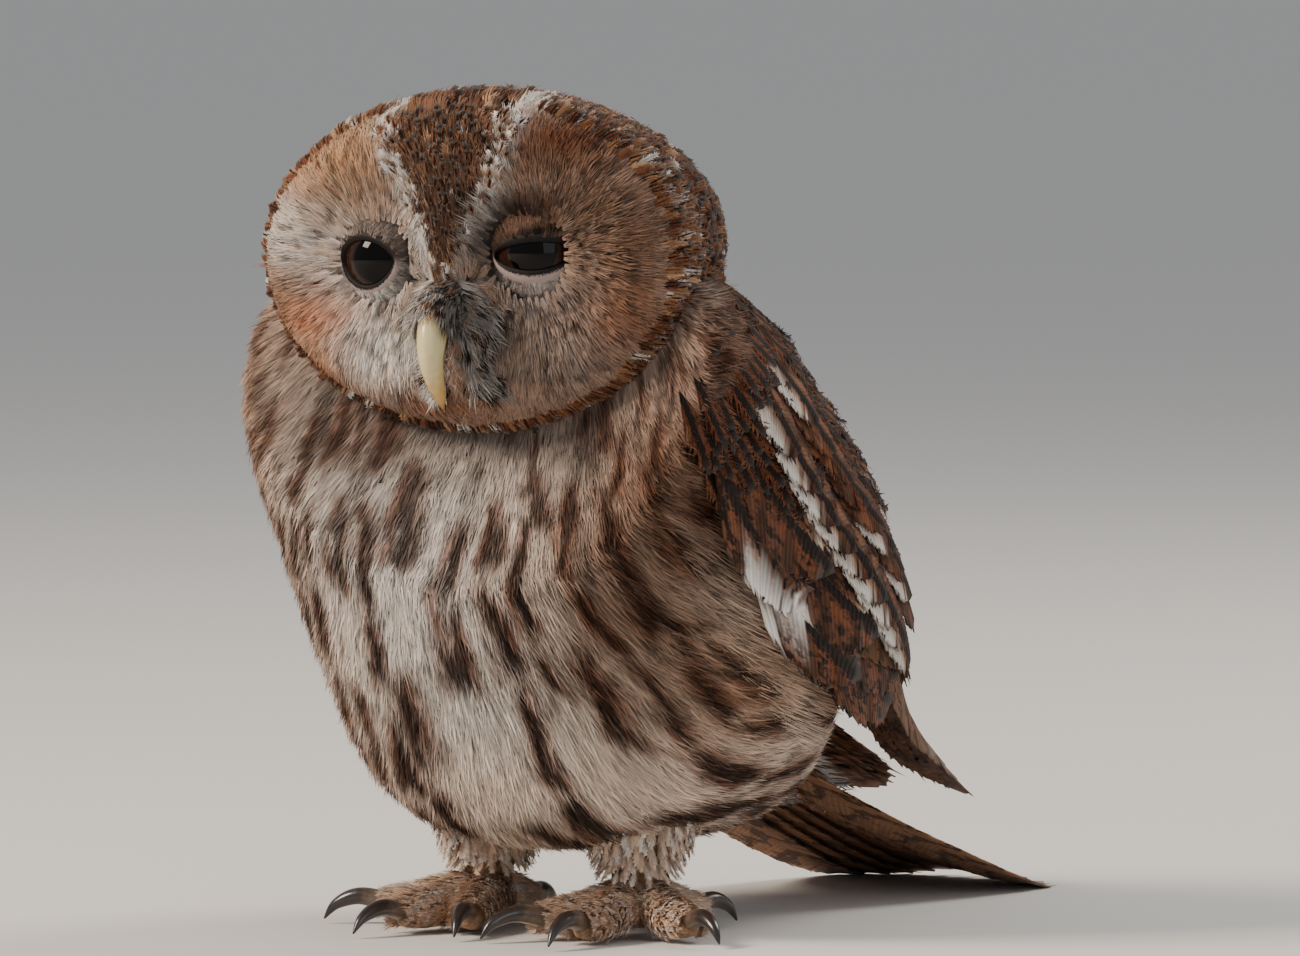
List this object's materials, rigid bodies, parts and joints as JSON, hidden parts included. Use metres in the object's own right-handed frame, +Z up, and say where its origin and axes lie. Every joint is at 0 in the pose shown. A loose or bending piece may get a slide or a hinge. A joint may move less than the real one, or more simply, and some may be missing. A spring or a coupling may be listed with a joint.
{
  "type": "tawny owl",
  "caption": "Life-size standing tawny owl of the rufous kind, wings folded, tail laid on the floor, head turned slightly to its left, one lid half closed.",
  "frame": {"origin": "middle of the outline on the floor", "axes": "+Z up, +Y from breast to tail, +X to the owl's own left side"},
  "size_m": [0.161, 0.2844, 0.2307],
  "materials": {
    "plumage": "soft matt feathers, rufous brown with black streaks and pale bars",
    "leg_plumage": "short soft feathers, buff white with brown flecks",
    "bill_horn": "glossy ivory-yellow horn",
    "eye": "wet, near-black brown",
    "claw_horn": "glossy black-brown horn"
  },
  "bodies": {
    "root": {"head": "plumage", "neck": "plumage", "torso": "plumage", "bill_upper": "bill_horn", "bill_lower": "bill_horn", "eye_left": "eye", "eye_right": "eye", "wing_left": "plumage", "wing_right": "plumage", "tail": "plumage", "leg_left": "leg_plumage", "leg_right": "leg_plumage", "foot_left": "leg_plumage", "foot_right": "leg_plumage", "claw_left_inner": "claw_horn", "claw_left_middle": "claw_horn", "claw_left_outer": "claw_horn", "claw_left_hind": "claw_horn", "claw_right_inner": "claw_horn", "claw_right_middle": "claw_horn", "claw_right_outer": "claw_horn", "claw_right_hind": "claw_horn"}
  },
  "joints": []
}
